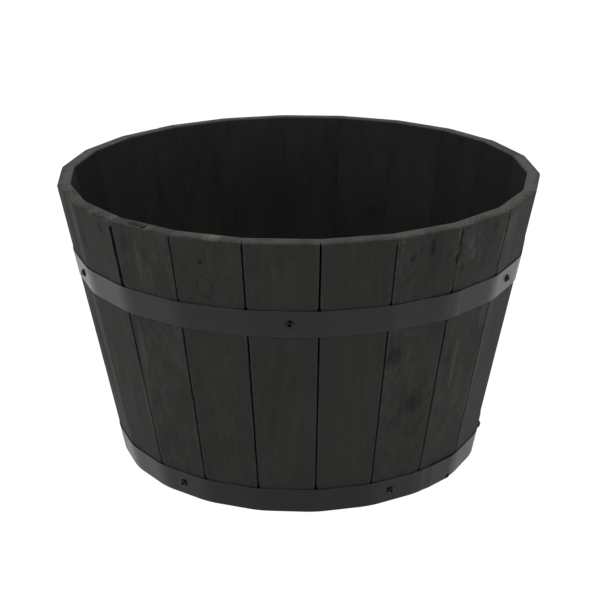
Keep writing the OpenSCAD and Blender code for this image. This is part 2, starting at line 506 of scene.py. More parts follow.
# How far below the rim a joint starts to open, in mm, the left stave's share of it, the height and the reach
# in mm of the place where it is pinched, and how uneven it is
JOINT_STARTS = {20: 6, 3: 3, 2: 5}
LEFT_SHARE = {20: 0.92}
PINCHED = {3: (300, 14)}
RAGGED = {3: 0.35, 21: 0.5, 4: 0.7, 20: 0.1}
# How dusty each stave is, how dark its inside is painted, as painted shade,
# and how light its rim is painted, as wear with a painted highlight on its inner arris
DUST = {18: 0.7, 19: 1.0, 20: 0.8, 21: 0.85, 22: 0.35, 1: 0.2, 2: 0.15, 3: 0.7, 4: 0.85, 5: 0.9, 6: 0.9}
PAINTED_INSIDE_SHADE = {4: 0.4, 5: 0.5, 6: 0.55, 7: 0.57, 8: 0.49, 9: 0.4, 15: 0.3, 16: 0.45, 17: 0.7, 18: 0.74, 19: 0.66}
RIM_WEAR_AND_HIGHLIGHT = {17: 1.5, 18: 1.6, 19: 1.25, 20: 0.8, 21: 0.5, 22: 1.3, 1: 1.1, 2: 1.2, 3: 1.65, 4: 1.45,
            5: 1.5, 6: 2.1, 7: 2.1}
# Where each knot is: its place across the stave and its height, in mm. Without one, it is put a metre away
KNOTS = {22: (-5.4, 299), 4: (12, 120), 7: (-14, 110), 10: (9, 100), 13: (-4, 80), 16: (16, 110),
         18: (-10, 90)}
NO_KNOT = (1000, 0)
# Each chip is a scoop: its stave, its middle in mm (across, behind the face, height), how far it reaches
# each way in mm, and how dark its floor is painted, as painted shade that deepens with the chip, and how light
# its lip is
CHIPS = [(21, (-11.5, 7.5, 359), (12.5, 5, 4), 0.22, 0.9), (21, (1.5, 6.5, 359), (3.2, 4.6, 9), 1.6, 0),
         (21, (24, 0, 358), (9, 3, 2.2), 0.1, 0.2), (22, (-22, 0, 358), (10, 3, 2), 0.1, 0.6),
         (22, (6, 0, 358), (7, 2.2, 1.8), 0.1, 0.5), (20, (24, 0, 358), (11, 4.5, 3.4), -0.4, 0.6),
         (20, (-8, 0, 358), (6, 2, 1.4), 0, 0.5), (1, (-20, 0, 358), (8, 1.8, 1.6), 0.1, 0.4),
         (3, (12, 0, 358), (7, 1.8, 1.5), 0.1, 0.4), (9, (-27, 15, 359), (3, 4, 2), 0.1, 0.8),
         (12, (10, 0, 358), (9, 2.4, 2), 0.2, 0.5), (15, (-16, 0, 358), (6, 3, 2.6), 0.2, 0.5),
         (22, (-7.9, 0, 328), (2.4, 1.4, 2.4), 1.3, 0), (4, (-40, -1, 328), (3.6, 3.6, 11), 0.5, 0),
         (3, (40, -1, 318), (3, 3, 8), 0.5, 0)]
# The scuffs of each stave: place across, height, half width and half height in mm, and how light the scuff
# is, or how dark, below 0
SCUFFS = {
    20: [(-4, 356, 7, 3, 1.1), (31, 357, 7, 5, 1.2), (38, 345, 4, 9, 1.2), (16, 342, 11, 13, -0.7),
         (-33, 318, 8, 18, -0.5), (-9, 318, 7, 30, 0.5), (-28, 150, 10, 60, 0.6), (36, 100, 9, 90, 1.0),
         (6, 120, 6, 70, -0.5)],
    19: [(36, 320, 2.4, 60, 0.9), (24, 310, 2.5, 60, 0.7), (0, 320, 34, 80, -0.7), (0, 160, 34, 110, -0.7),
         (30, 170, 5, 90, 1.2), (14, 200, 4, 60, 0.8)],
    21: [(-36, 120, 8, 80, 0.6), (-10, 320, 8, 50, 0.7), (7.5, 358, 4, 5, 1.3), (-29, 200, 8, 50, 0.9),
         (-10, 140, 6, 60, 0.5), (24, 330, 5, 9, -0.7), (6, 180, 8, 24, -0.4), (-28, 335, 9, 26, -0.4),
         (24, 200, 5, 44, 0.5)],
    22: [(-1, 326, 3, 1.6, -0.9), (30, 338, 7, 12, 0.5), (6, 358, 15, 4, 0.8), (20, 342, 8, 12, -0.4)],
    1: [(-8, 322, 14, 16, 0.4), (10, 340, 12, 7, -0.4)],
    2: [(-20, 330, 12, 20, 0.3), (30, 200, 8, 50, -0.3)],
    3: [(0, 330, 50, 70, -0.4), (0, 150, 50, 130, -0.35), (-35, 352, 5, 4, 1.3), (-35, 344, 4, 4, 1.1),
        (-20, 355, 14, 3, 0.7), (-21, 329, 4, 5, -1.0), (6, 338, 4, 15, -0.6), (-2, 320, 13, 9, 0.6),
        (26, 330, 5, 26, 0.6), (39, 351, 3, 6, 1.8), (38, 331, 3, 12, 1.3), (-28, 208, 14, 20, -0.6),
        (8, 137, 20, 16, -0.35), (-4, 190, 10, 30, 0.4), (-30, 100, 8, 30, 0.4)],
    4: [(40, 318, 5, 22, 1.6), (-22, 332, 7, 12, 1.3), (-15, 317, 6, 8, 1.6), (10, 350, 5, 6, 0.6),
        (-30, 305, 6, 9, -0.9), (20, 345, 8, 10, -0.6), (30, 230, 8, 30, 0.9), (8, 130, 12, 60, 0.7),
        (-24, 180, 8, 50, -0.5), (-10, 175, 5, 45, 1.7), (35, 110, 4.5, 26, 1.5)],
    5: [(-33, 333, 7, 20, 1.8), (-20, 338, 6, 16, 1.4), (-34, 180, 7, 110, 1.5), (-4, 200, 8, 60, -0.4),
        (10, 325, 9, 16, -0.5), (-16, 315, 22, 44, 0.6), (14, 345, 6, 8, 0.8)],
    6: [(-10, 240, 12, 80, -0.8), (-30, 200, 6, 90, 0.7)],
    16: [(0, 357, 3, 5, 1.4)],
    9: [(-27, 357, 3, 5, 1.4)],
}
print("chips:", len(CHIPS), "scuffs:", sum(len(marks) for marks in SCUFFS.values()))

# %% [markdown]
# ## Where the hoops bend
#
# A hoop bends at every joint, and its round bend runs a little inside the sharp corner that two staves make.
# The staves' arrises are pressed in by just that much there, so the amount is worked out once, for both.

# %% Measure the bends
BEND_SOFT = 13 * MM


def bend_off(p):
    """How far a point lies from the nearest joint, as a length round the tub."""
    passed = round_from_front(p) / STEP - 0.5
    return abs(passed - round(passed)) * STEP * math.hypot(p.x, p.y)


def bend_dip(p):
    """How far a hoop's round bend runs inside the sharp corner of the staves."""
    return max(0, BEND_SOFT - bend_off(p)) ** 2 * math.tan(HALF_STEP) / (2 * BEND_SOFT)


print("bends lie up to", round(BEND_SOFT * math.tan(HALF_STEP) / 2 / MM, 2), "mm inside the corners")

# %% [markdown]
# ## Opening the joints
#
# The joints of an old tub gape: the wood shrinks, its arrises round off, and damp and dirt widen the gap.
# Each joint is opened by drawing the points beside it back, most at the face and not at all deep in the wood.
# `share_between` turns a value between two marks into a number from 0 to 1, and smooth noise keeps it alive.

# %% Open the joints
JOINT_FADES = 4 * MM
OPEN_DEEP = 9 * MM
NOTCH = 1.3 * MM
NOTCH_REACH = 3.5 * MM
LONG_SWAY = 34 * MM
SHORT_SWAY = 11 * MM


def lively(point, size):
    """Smooth noise from -1 to 1 whose waves are about as long as size."""
    return max(-1, min(1, noise.noise(point / size)))


def share_between(value, low, high):
    """0 where value is at low or below, 1 where it is at high or above, and even in between."""
    return min(1, max(0, (value - low) / (high - low)))


def open_joint(p, depth, stave):
    """Draws a point of a stave's edge back, so that the joint opens in a V towards the outside."""
    joint = stave if p.x > 0 else (stave - 2) % STAVES + 1
    hand = math.copysign(1, p.x)
    sway = hand * lively(Vector((0, joint, p.z)), LONG_SWAY)
    sway += 0.6 * lively(Vector((joint, hand, p.z)), SHORT_SWAY)
    share = LEFT_SHARE.get(joint, 0.5) if p.x > 0 else 1 - LEFT_SHARE.get(joint, 0.5)
    above, below = (width * MM for width in JOINT_OPEN.get(joint, OTHER_JOINTS))
    opening = below + (above - below) * share_between(p.z, *HOOP_BANDS[1])
    opening *= share * max(0.15, 1 + RAGGED.get(joint, 0.3) * sway)
    opening *= 1 - share_between(depth, 0, OPEN_DEEP) ** 2
    pinch, reach = (length * MM for length in PINCHED.get(joint, (0, 1)))
    opening *= 1 - 0.8 * max(0, 1 - ((p.z - pinch) / reach) ** 2)
    opening *= share_between(TUB_H - JOINT_STARTS.get(joint, 0) * MM - p.z, 0, JOINT_FADES)
    opening *= 0.75 + 0.5 * p.z / TUB_H
    if depth < OPEN_DEEP:
        opening += max(0, *(NOTCH * (1 - abs(p.z - high - MM) / NOTCH_REACH) for _, high in HOOP_BANDS))
    half = -p.y * math.tan(HALF_STEP)
    return p.x * (1 - opening / half)


# %% [markdown]
# ## Chips and scuffs
#
# A chip is a scoop out of the wood, shaped like a squashed ball. A point of the blank that lies inside the
# ball moves inwards and down until it lies on the ball, which is what a blow from above does. The ball's own
# ruler makes that easy: measured in how far the chip reaches each way, the ball is round and its radius is 1.
# A chip's floor is painted darker the deeper it lies, as painted shade. A scuff leaves the wood where it is,
# and only makes it lighter or darker.

# %% Chip and scuff the wood
GIVE = Vector((0, 0.75, -0.65))
CHIP_WAVE = 3 * MM
CHIP_DARK_AT = 2 * MM
LIP_REACH = 1.5
MORE_POINTS = 1.4


def by_reach(vector, reach):
    """A vector measured in how far a chip reaches each way."""
    return Vector(a / (b * MM) for a, b in zip(vector, reach))


def in_chip(p, depth, middle, reach):
    """A point as seen from the middle of a chip, by its own ruler: inside the chip it is shorter than 1."""
    return by_reach(Vector((p.x, depth, p.z)) - Vector(a * MM for a in middle), reach)


def chip_away(p, depth, stave):
    """How far a point gives way, to lie on the floor of a chip, and how much lighter that leaves it: below 0
    on the floor, as painted shade.
    """
    give, light = 0, 0
    for where, middle, reach, dark, lip in CHIPS:
        if where != stave:
            continue
        spot = in_chip(p, depth, middle, reach) * (1 + 0.3 * lively(p, CHIP_WAVE))
        if spot.length < 1:
            pace = by_reach(GIVE, reach)
            along, square = spot.dot(pace), pace.dot(pace)
            to_floor = (math.sqrt(along ** 2 + square * (1 - spot.dot(spot))) - along) / square
            if to_floor > give:
                give, light = to_floor, -dark * min(1, to_floor / CHIP_DARK_AT)
        elif spot.length < LIP_REACH and give == 0:
            light = max(light, lip * (3 - 2 * spot.length))
    return give, light


def inside_mark(p, across, height, half_w, half_h):
    """1 in the middle of a scuff, 0 at its rim and below 0 beyond it."""
    return 1 - ((p.x - across * MM) / (half_w * MM)) ** 2 - ((p.z - height * MM) / (half_h * MM)) ** 2


def scuffed(p, stave):
    """How much lighter the scuffs make the stave at a point, or darker, below 0."""
    return sum(light * max(0, inside_mark(p, *where)) for *where, light in SCUFFS.get(stave, []))


def depth_in(p):
    """How deep a point of the front stave lies behind its face."""
    return (outer(p.z) + p.y) * math.cos(LEAN)


def add_points(bm, stave):
    """Divides the edges round a chip, so that it can have a shape of its own."""
    for where, middle, reach, _, _ in CHIPS:
        if where == stave:
            middles = [(edge, (edge.verts[0].co + edge.verts[1].co) / 2) for edge in bm.edges]
            near = [edge for edge, p in middles
                    if in_chip(p, depth_in(p), middle, reach).length < MORE_POINTS]
            bmesh.ops.subdivide_edges(bm, edges=near, cuts=2, use_grid_fill=True)
            spare = [v for v in bm.verts if len(v.link_edges) == 2]
            bmesh.ops.dissolve_verts(bm, verts=spare)


# %% [markdown]
# ## Wearing one stave
#
# `wear` goes over every point of a blank once. It first writes down what the finish needs to know about the
# point, while the stave still faces the front and its joints are straight. Then it moves the point: in by
# the chips, back by the cup and the hoops' pressure, down by an uneven rim, and sideways by the open joint.

# %% Wear one stave
CRUSH_DEEP = 6 * MM
CRUSH_BESIDE = 2 * MM
SCUFF_DEEP = 4 * MM
RIM_SCUFFED = 8 * MM
ARRIS_WEAR = 3 * MM
STAVE_HALF = 40 * MM
RIM_UNEVEN = 30 * MM
FACE_DEEP = 8 * MM


def finish_layers(bm):
    """The values that the wood finish reads at each point of a mesh."""
    vectors = [bm.verts.layers.float_vector.new(n) for n in ("grain", "edges", "knot")]
    return vectors + [bm.verts.layers.float.new(n) for n in ("dust", "scuff", "rim_wear_and_highlight", "inside_shade", "gape")]


def crushed(p, depth):
    """How far the hoops have pressed the arrises in, along the joints behind them."""
    behind = any(low - CRUSH_BESIDE < p.z < high + CRUSH_BESIDE for low, high in HOOP_BANDS)
    return bend_dip(p) * (1 - depth / CRUSH_DEEP) if behind and depth <= CRUSH_DEEP else 0


def wear(bm, stave):
    """Turns the blank into one stave of the tub, with the values that its finish reads."""
    rng = random.Random(stave)
    add_points(bm, stave)
    grain, edges, knot, dust, scuff, rim, inside_shade_layer, gape = finish_layers(bm)
    pith = Vector((rng.uniform(-30, 30), rng.uniform(25, 80), rng.uniform(0, 900))) * MM
    strange = Vector((rng.uniform(0, 50), rng.uniform(0, 50), rng.uniform(0, 50)))
    sunk, cup, short = (rng.uniform(0, 0.06) * MM, rng.uniform(0, 0.12) * MM, rng.uniform(0, 0.15) * MM)
    dusty = DUST.get(stave, rng.uniform(0.3, 0.9))
    knot_at = [length * MM for length in KNOTS.get(stave, NO_KNOT)]
    bm.normal_update()
    moved = []
    for v in bm.verts:
        p = v.co.copy()
        depth = depth_in(p)
        along = p.z * math.cos(LEAN) - p.y * math.sin(LEAN)
        from_joint = (-p.y * math.tan(HALF_STEP) - abs(p.x)) * math.cos(HALF_STEP)
        v[grain] = Vector((p.x, depth, along)) + pith
        give, light = chip_away(p, depth, stave)
        v[edges] = (from_joint, TUB_H - p.z + 0.5 * give, depth)
        v[knot] = (p.x - knot_at[0], 0, p.z - knot_at[1])
        v[dust] = dusty
        # scuff also carries the painted shade on the chips' floors and the lighter chip lips
        v[scuff] = scuffed(p, stave) + light if depth < SCUFF_DEEP or p.z > TUB_H - RIM_SCUFFED else 0
        # Set per stave: the rim's wear with its painted highlight, and how much painted shade darkens the
        # inside
        v[rim], v[inside_shade_layer] = RIM_WEAR_AND_HIGHLIGHT.get(stave, 1), PAINTED_INSIDE_SHADE.get(stave, 0.24)
        from_arris = sorted((from_joint, min(depth, STAVE_T - depth), TUB_H - p.z))[1]
        near_arris = max(0, 1 - from_arris / ARRIS_WEAR)
        rough = 0.04 * MM * (1 + lively(p + strange, 22 * MM)) + 0.02 * MM * (1 + lively(p - strange, 7 * MM))
        rough += near_arris * (0.2 if depth < FACE_DEEP else 0.05) * MM * (1 + lively(p + strange, 9 * MM))
        rough *= min(1, from_joint / MM)
        back = Vector((0, 1, 0)) * (sunk + cup * (p.x / STAVE_HALF) ** 2 + crushed(p, depth))
        back += GIVE * give
        if p.z > TUB_H - RIM_UNEVEN:
            back.z -= short * (p.z - TUB_H + RIM_UNEVEN) / RIM_UNEVEN
        opened = Vector((open_joint(p, depth, stave), p.y, p.z))
        v[gape] = abs(opened.x - p.x)
        moved.append(opened - v.normal * rough + back)
    for v, p in zip(bm.verts, moved):
        v.co = p
    turn = Matrix.Rotation((stave - 1) * STEP, 3, "Z")
    bmesh.ops.rotate(bm, verts=bm.verts[:], cent=(0, 0, 0), matrix=turn)


# %% [markdown]
# ## The charcoal-stained wood
#
# The staves are sawn softwood with a thin black stain, so the grain only just shows. A board is a slice of
# a tree, and the way to get its figure right is to think of the tree: growth rings are circles about the
# pith, and the board's own coordinates say how far each point lies from it. Noise bends the rings, a knot
# pulls them round itself, and very long thin noise makes the fibres. Dust, scuffs and lighter arrises come
# on top, each as a mask between 0 and 1, with painted shade inside the tub, deep in the open joints and on
# the chips' floors, and a painted highlight along the rim's inner arris. Lengths in the nodes are in metres,
# as on the mesh.

# %% Stain the wood
RING = 0.0052


def wood_finish(name, stain, dust_colour, dust_share):
    """Charcoal stain on sawn softwood."""
    material = bpy.data.materials.new(name)
    tree = Tree(material)

    # The figure: rings about the pith or the knot, fibres along the board, and clouds of damp
    grain, edges, knot = (tree.read(n, "Vector") for n in ("grain", "edges", "knot"))
    dusty, scuff = tree.read("dust", "Fac"), tree.read("scuff", "Fac")
    wander = tree.cloud(tree.stretch(grain, 1, 1, 0.22), 16.0, 2.0)
    knot_far = tree.length(tree.stretch(knot, 1, 1, 0.72)) + (wander - 0.5) * 0.006
    by_knot = 1 - tree.between(knot_far, 0.006, 0.03)
    pith_far = tree.length(tree.stretch(grain, 1, 1, 0.045))
    rings = pith_far * (1 - by_knot) + knot_far * by_knot * 1.3 + wander * 0.014
    wave = tree.node("ShaderNodeMath", {"operation": "SINE"}, {0: rings * (math.tau / RING)})
    late = (wave * 0.5 + 0.5) ** 3
    fibre = tree.cloud(tree.stretch(grain, 1, 1, 0.03), 700.0, 3.0, 0.6)
    streak = tree.cloud(tree.stretch(grain, 1, 1, 0.09), 95.0, 3.0, 0.55)
    patch = tree.cloud(tree.stretch(grain, 1, 1, 0.6), 30.0, 4.0, 0.6, 0.8)
    damp = tree.cloud(tree.stretch(grain, 1, 1, 0.35), 19.0, 3.0, 0.55, 0.5)
    blot = tree.cloud(tree.stretch(grain, 1, 1, 0.55), 62.0, 3.0, 0.55, 1.2)
    rubbed = tree.cloud(grain, 160.0, 3.0, 0.6)
    knot_ring = tree.between(knot_far, 0.0055, 0.0085) * (1 - tree.between(knot_far, 0.0085, 0.0115))
    knot_ring = by_knot * knot_ring * tree.between(rubbed, 0.42, 0.66)
    knot_core = by_knot * (1 - tree.between(knot_far, 0.004, 0.007))

    # The edges: arrises and rim worn light, with a painted highlight on the rim's inner arris, open joints
    # dark with dirt and painted shade, and the inside of the tub without dust
    side_far, rim_far, deep = (tree.part(edges, axis) for axis in "XYZ")
    inside = tree.between(deep, 0.009, 0.0135)
    side_worn = (1 - tree.between(side_far, 0.0008, 0.0036)) * tree.between(rubbed, 0.42, 0.62) * (1 - inside)
    # Dirt with painted shade: the faces deep in an open joint are darker, more so where it gapes wider
    gape = tree.between(tree.read("gape", "Fac"), 0.001, 0.003)
    gap = (1 - tree.between(side_far, 0.0003, 0.001)) * tree.between(deep + gape * 0.001, 0.001, 0.0025)
    gap = gap * (1 - tree.between(deep, 0.011, 0.0135)) * tree.between(rim_far, 0.001, 0.004)
    on_rim = 1 - tree.between(rim_far, 0.0008, 0.003)
    # Rim wear, lighter towards the inside, and a painted highlight: a thin light line on the inner arris, 13.5
    # to 15.5 mm deep, scaled per stave
    rim_wear_and_highlight = tree.between(deep, 0.001, 0.014) * 0.4 + tree.between(patch, 0.3, 0.7) * 0.6 + late * 0.28
    rim_wear_and_highlight = on_rim * tree.read("rim_wear_and_highlight", "Fac") * (rim_wear_and_highlight + tree.between(deep, 0.0135, 0.0155) * 0.6)
    # worn: wear of the arrises and the rim, together with the rim's painted highlight
    worn = tree.sum("MAXIMUM", side_worn * (0.25 + dusty * 0.6), rim_wear_and_highlight)

    # The face: dust in clouds, scuffs, stains together with the chips' painted shade, and the tone of the wood
    # under them
    clouds = tree.between(patch * 0.5 + blot * 0.5, 0.42, 0.66) * dusty * dust_share
    uneven = patch * 0.7 + rubbed * 0.5 + streak * 0.7
    marks = tree.between(scuff * uneven, 0.15, 0.9)
    stains_and_chip_shade = tree.between(scuff * -1 * uneven, 0.15, 0.9)
    light = tree.sum("MAXIMUM", clouds, marks * 0.85)
    lines = (late - 0.3) * 0.1 + (fibre - 0.5) * 0.22 + (streak - 0.5) * 0.17
    tone = 1 + lines * (1 - inside * 0.7) + (damp - 0.5) * (0.4 + inside * 0.5)
    tone = tone + (blot - 0.5) * dusty * 1.1 - stains_and_chip_shade * 0.5 - knot_ring * 0.6 + knot_core * 0.12
    # Painted shade: darker inside the tub, by each stave's own amount, and darker deep in the open joints, as
    # dirt with painted shade
    tone = tone * (1 - inside * tree.read("inside_shade", "Fac") * (1 - on_rim)) * (1 - gap * (0.72 + gape * 0.22))
    colour = tree.blend(light, tree.shade(stain, tone), tree.shade(dust_colour, 0.7 + fibre * 0.6))
    colour = tree.blend(inside, colour, tree.shade(stain, tone))
    bare_and_highlight = tree.shade(dust_colour, 1 + on_rim * (0.4 + marks * 0.9))
    colour = tree.blend(worn * 0.75 * (1 - gap) * (1 - stains_and_chip_shade * 0.7), colour, bare_and_highlight)

    # The surface: dry and rough, with raised grain
    height = late * 0.3 + fibre * 0.55 + streak * 0.3 + damp * 0.8
    rough = 0.74 + fibre * 0.08 + light * 0.1 + inside * 0.12
    rough = rough + stains_and_chip_shade * 0.2 + (blot - 0.5) * dusty * 0.3 + gap * gape * 0.2
    tree.finish(tree.node("ShaderNodeBsdfPrincipled", {}, {
        "Base Color": colour, "Roughness": rough, "Specular IOR Level": 0.15,
        "Normal": tree.bump(height, 0.6, 0.00025)}))
    return material


stave_stain = wood_finish("stave_stain", (0.0312, 0.0310, 0.0292, 1), (0.070, 0.069, 0.064, 1), 0.45)
print("stave stain:", len(stave_stain.node_tree.nodes), "nodes")

# %% [markdown]
# ## Setting up the staves
#
# Every stave is a copy of the one blank, worn in its own way while it still faces the front, and only then
# turned to its place in the ring. All of them wear the same stain, which reads its marks off their points.

# %% Set up the staves
for stave in range(1, STAVES + 1):
    copy = blank.copy()
    wear(copy, stave)
    piece(f"stave_{stave:02d}_wood", copy, f"stave_{stave:02d}", stave_stain)
blank.free()
print("staves set up:", STAVES)

# %% [markdown]
# ## The steel hoops
#
# A hoop is one flat strip bent at every joint, whose end laps over its own start and is fixed there. Spinning
# an upright edge round the axis in steps of one stave gives exactly those flats, and a few steps more than a
# full turn give the lap. Each point remembers how many bends it has passed, so that the two layers of the
# lap can be told apart. Extruding the whole ribbon outwards gives the steel its thickness.

# %% Bend a hoop
HOOP_T = 1.2 * MM
LAP = 40 * MM
RAMP = 8 * MM
LAYER_GAP = 0.05 * MM
STRIP_CUTS = 15


def push_out(v, amount):
    """Moves a point away from the axis so that each flat moves square to itself."""
    share = 1 + amount / math.cos(LEAN) / outer(v.co.z)
    v.co.x *= share
    v.co.y *= share


def cut_ribbon(bm, turn, passed, at, **sides):
    """Cuts the one flat of the ribbon that starts after so many bends, at an angle round from the front."""
    flat = [f for f in bm.faces if passed < sum(v[turn] for v in f.verts) / len(f.verts) < passed + 1]
    parts_of_flat = {g for f in flat for g in (*f.verts, *f.edges, f)}
    bmesh.ops.bisect_plane(bm, geom=list(parts_of_flat), dist=MM / 100, plane_co=(0, 0, 0),
                           plane_no=(math.cos(at), math.sin(at), 0), **sides)


def hoop(node, lap_end):
    """A bent strip with its end lapped over its start. lap_end says how far round from the front it ends."""
    low, high = (corner.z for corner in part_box(node))
    lap_start = lap_end - LAP / outer(low)
    first = math.floor(lap_start / STEP - 0.5) + 0.5
    flats = STAVES + math.ceil(lap_end / STEP - first)
    bm = bmesh.new()
    turn = bm.verts.layers.float.new("turn")
    ends = [bm.verts.new((0, -outer(z) / math.cos(HALF_STEP), z)) for z in (low, high)]
    bm.edges.new(ends)
    bmesh.ops.rotate(bm, verts=ends, cent=(0, 0, 0), matrix=Matrix.Rotation(first * STEP, 3, "Z"))
    bmesh.ops.spin(bm, geom=whole(bm), cent=(0, 0, 0), axis=(0, 0, 1), angle=flats * STEP, steps=flats)
    bm.verts.index_update()
    for v in bm.verts:
        v[turn] = v.index // 2
    cut_ribbon(bm, turn, 0, lap_start, clear_inner=True)
    cut_ribbon(bm, turn, flats - 1, lap_end, clear_outer=True)
    ramp_start = lap_start - RAMP / outer(low)
    over = math.floor(lap_start / STEP - first) + STAVES
    cut_ribbon(bm, turn, over, lap_start)
    cut_ribbon(bm, turn, over, ramp_start)
    for v in bm.verts:
        if v[turn] > over + (ramp_start / STEP - first) % 1 + 0.01:
            push_out(v, HOOP_T + LAYER_GAP)
    level = [e for e in bm.edges if abs(e.verts[0].co.z - e.verts[1].co.z) < MM and e.calc_length() > 10 * MM]
    bmesh.ops.subdivide_edges(bm, edges=level, cuts=STRIP_CUTS, use_grid_fill=True)
    skin = bmesh.ops.extrude_face_region(bm, geom=bm.faces[:])["geom"]
    for v in points_of(skin):
        push_out(v, HOOP_T)
    bmesh.ops.recalc_face_normals(bm, faces=bm.faces[:])
    return bm, low, high


# %% [markdown]
# ## Softening the bends
#
# Steel doesn't fold to a knife edge: a hoop's bend is an arc that starts a little before the joint and ends a
# little after it. Each flat is divided into short steps for that, and every point near a joint is drawn in to
# the arc. The staves' arrises were pressed in by the same amount before. The points also carry what the
# paint needs to know: how far they lie from a cut edge, where a dark spot is (a painted shadow at the lower
# corner of the lower hoop's lap end, a smudge at the back of the upper hoop), where grime has settled on the
# flats, and where the end of the lap shows its cut, which catches the light: a painted highlight on bare
# steel.

# %% Soften the bends and the cut edges
STEEL_ARRIS = 0.25 * MM
EDGE_ROWS = (0.6 * MM, 3 * MM, 11 * MM)
DARK_SPOT_REACH = 7 * MM
LAP_CUT = 0.4 * MM
STRIP_WAVE = 0.08 * MM
STRIP_WAVE_LONG = 70 * MM
# For each hoop, as angles round from the front: where its lap ends, and where a dark spot is: on the lower
# hoop a painted shadow at the lap end's lower corner, on the upper one a smudge at the back
LAP_ENDS = {"upper_hoop": math.radians(44), "lower_hoop": math.radians(56)}
DARK_SPOTS = {"upper_hoop": math.radians(204), "lower_hoop": math.radians(54.9)}
# How light the cut end of each lap is painted, as bare steel with a painted highlight, and how grubby each
# hoop's flat is in front of a stave
END_BARE_AND_HIGHLIGHT = {"upper_hoop": 1.0, "lower_hoop": 0.3}
GRUBBY = {("upper_hoop", 4): 0.08, ("lower_hoop", 4): 0.12, ("lower_hoop", 5): 0.12}


def soften(bm, node, low, high):
    """Rounds the bends and the cut edges of a bent strip, and gives its points the wear, painted shadow and
    painted highlight that its paint reads.
    """
    crisp = [e for e in bm.edges if len(e.link_faces) == 2 and e.calc_face_angle() > math.radians(60)]
    bmesh.ops.bevel(bm, geom=crisp, offset=STEEL_ARRIS, affect="EDGES", segments=2, profile=0.5, material=-1)
    slices(bm, (0, 0, 1), [low + a for a in EDGE_ROWS] + [high - a for a in EDGE_ROWS[::-1]])
    turn = bm.verts.layers.float["turn"]
    values = ("from_edge", "dark_spot", "grubby", "bare_and_highlight")
    edge, dark_spot, grubby, bare_and_highlight = (bm.verts.layers.float.new(n) for n in values)
    for v in bm.verts:
        v[edge] = min(v.co.z - low, high - v.co.z)
        turned = round_from_front(v.co)
        from_dark_spot = math.hypot((turned - DARK_SPOTS[node]) * outer(low), v.co.z - low - MM)
        v[dark_spot] = max(0, 1 - from_dark_spot / DARK_SPOT_REACH)
        v[grubby] = GRUBBY.get((node, round(turned / STEP) % STAVES + 1), 0)
        at_end = v[turn] > STAVES and abs(turned - LAP_ENDS[node]) * outer(low) < LAP_CUT
        v[bare_and_highlight] = END_BARE_AND_HIGHLIGHT[node] if at_end else 0
        wave = STRIP_WAVE * (1 + lively(v.co, STRIP_WAVE_LONG))
        push_out(v, wave - bend_dip(v.co))


# %% [markdown]
# ## The hoops' paint
#
# The strips carry a thin dark grey satin coat. Seen square on they are almost as dark as the wood, and they
# only turn bright where they are seen at a low angle: that is the coat's own gloss, so it is left to the
# shader, with a smooth surface and a very dark colour. Handling has rubbed it lighter in places, and dry
# dirt, which has no gloss at all, is a second shader that the first gives way to. The cut end of the upper
# lap is painted light, as bare steel with a painted highlight, and the second shader also paints a shadow at
# the lower lap's end.

# %% Paint the steel
WORN_STEEL_AND_HIGHLIGHT = (0.06, 0.06, 0.059, 1)


def matte_dark(tree, dark, uneven):
    """Almost black and without gloss: dry dirt, and painted shade on the screws' recesses and edges and at the
    lower lap's end.
    """
    return tree.node("ShaderNodeBsdfPrincipled", {}, {
        "Base Color": tree.shade((dark, dark, dark, 1), 0.6 + uneven * 0.8), "Roughness": 0.85,
        "Specular IOR Level": 0.02})


def steel_finish(name, dark, rough, gloss):
    """Satin paint on steel strip."""
    material = bpy.data.materials.new(name)
    tree = Tree(material)
    place = tree.place()
    from_edge = tree.read("from_edge", "Fac")
    blotch = tree.cloud(place, 42.0, 4.0, 0.6)
    speck = tree.cloud(place, 900.0, 2.0, 0.6)
    scuff = tree.cloud(tree.stretch(place, 0.25, 0.25, 1.6), 130.0, 4.0, 0.65)
    rubbed = tree.between(scuff, 0.58, 0.72)
    worn = (1 - tree.between(from_edge, 0.0002, 0.0011)) * tree.between(blotch, 0.35, 0.6)
    paint = tree.shade((dark, dark, dark, 1), 0.8 + blotch * 0.25 + speck * 0.15)
    bare_and_highlight = tree.read("bare_and_highlight", "Fac")
    # Painted highlight: the cut end of the upper lap, lightened like worn steel
    shown = tree.sum("MAXIMUM", worn * 0.4 + rubbed * 0.12, bare_and_highlight * tree.between(bare_and_highlight, 0.45, 0.75))
    coat = tree.node("ShaderNodeBsdfPrincipled", {}, {
        "Base Color": tree.blend(shown, paint, WORN_STEEL_AND_HIGHLIGHT), "Specular IOR Level": gloss,
        "Roughness": rough + blotch * 0.12 + rubbed * 0.12,
        "Normal": tree.bump(blotch * 0.3 + speck * 0.12, 0.5, 0.0004)})
    # The dark spot is a painted shadow at the lower lap's end and a smudge on the upper hoop; the grubby flats
    # are dirt
    dark_spotted = tree.between(tree.read("dark_spot", "Fac"), 0.3, 0.5)
    grime_and_shade = tree.sum("MAXIMUM", dark_spotted, tree.read("grubby", "Fac"))
    tree.finish(tree.mix(grime_and_shade, coat, matte_dark(tree, 0.003, speck)))
    return material


# %% [markdown]
# ## Fitting the hoops
#
# A cooper drives the hoops down over the staves until they are tight. Here each one is bent at its own
# height, softened and painted. The lower strip's paint is darker and a little duller than the upper one's,
# as painted shade for the shaded floor at the foot that it mirrors.

# %% Fit the hoops
# Each hoop's paint: how light it is, its roughness and its gloss. The lower one's extra darkness is painted
# shade
PAINT_AND_SHADE = {"upper_hoop": (0.0142, 0.26, 0.235), "lower_hoop": (0.0072, 0.31, 0.215)}

for node, lap_end in LAP_ENDS.items():
    strip, low, high = hoop(node, lap_end)
    soften(strip, node, low, high)
    print(node, "strip:", len(strip.faces), "faces")
    piece(node + "_strip", strip, node, steel_finish(node + "_paint", *PAINT_AND_SHADE[node]))

